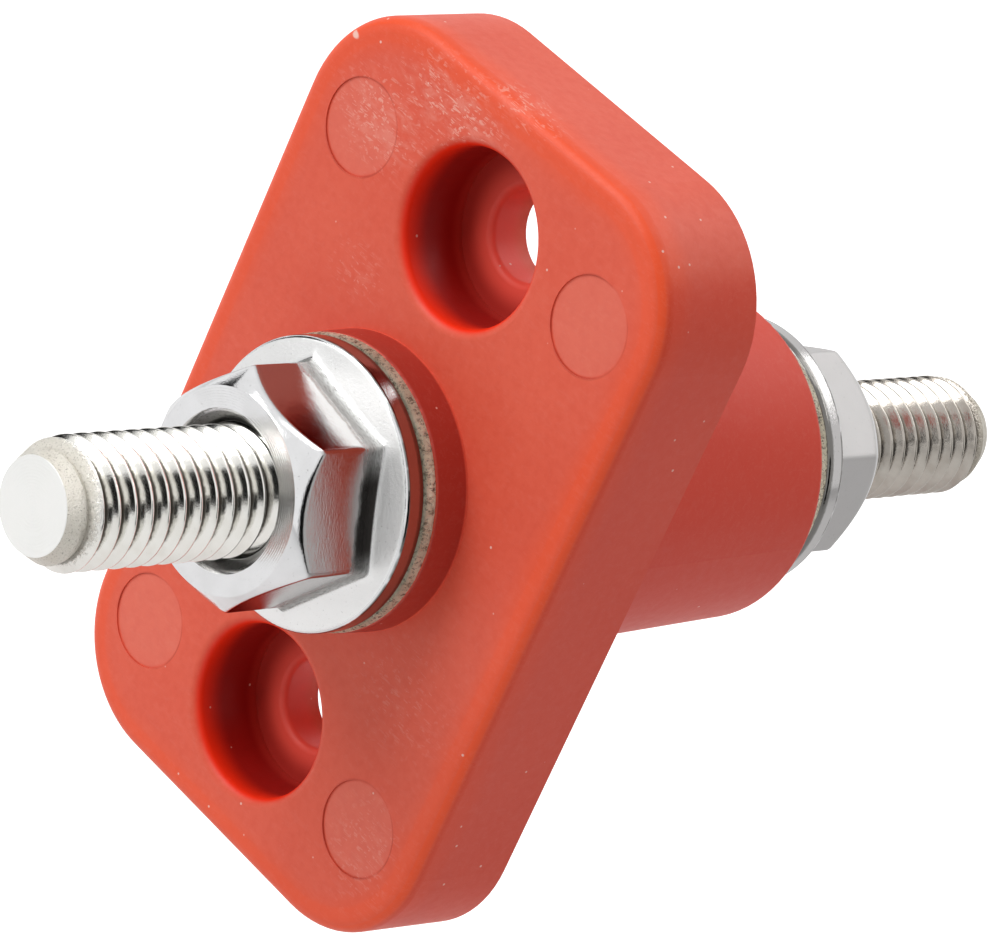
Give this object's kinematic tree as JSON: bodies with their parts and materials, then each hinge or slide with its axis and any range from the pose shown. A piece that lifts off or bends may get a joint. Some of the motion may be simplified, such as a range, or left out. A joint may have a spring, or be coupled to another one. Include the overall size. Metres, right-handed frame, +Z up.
{
  "type": "feed-through stud connector",
  "caption": "Threaded stud moulded into a red panel-mount housing, passing power through a bulkhead, with a contact washer and flange nut on each end.",
  "frame": {"origin": "where the stud's axis meets the back face of the plate, midway between the screw holes", "axes": "+Y into the panel along the stud, +Z up along the plate's long side, +X to the right seen from the front"},
  "size_m": [0.0326, 0.0823, 0.0524],
  "materials": {
    "red_nylon": "satin moulded",
    "plated_stud": "bright plated",
    "polished_nut": "polished stainless",
    "sheared_washer": "plated, with a rough edge"
  },
  "bodies": {
    "housing_and_stud": {"housing": "red_nylon", "stud": "plated_stud"},
    "front_washer": {"front_washer": "sheared_washer"},
    "front_nut": {"front_flange_nut": "polished_nut"},
    "rear_washer": {"rear_washer": "sheared_washer"},
    "rear_nut": {"rear_flange_nut": "polished_nut"}
  },
  "joints": [
    {"name": "front_washer_travel", "type": "slide", "parent": "housing_and_stud", "child": "front_washer", "axis": [0, -1, 0], "range_m": [0, 0.02]},
    {"name": "front_nut_turn", "type": "hinge", "parent": "front_washer", "child": "front_nut", "pos_m": [0, -0.0113, 0], "axis": [0, -1, 0], "range_deg": [0, 5760]},
    {"name": "rear_washer_travel", "type": "slide", "parent": "housing_and_stud", "child": "rear_washer", "axis": [0, 1, 0], "range_m": [0, 0.0211]},
    {"name": "rear_nut_turn", "type": "hinge", "parent": "rear_washer", "child": "rear_nut", "pos_m": [0, 0.02495, 0], "axis": [0, 1, 0], "range_deg": [0, 6076.8]}
  ],
  "couplings": [
    {"joint": "front_washer_travel", "follows": "front_nut_turn", "m_per_rad": 0.00019894},
    {"joint": "rear_washer_travel", "follows": "rear_nut_turn", "m_per_rad": 0.00019894}
  ]
}
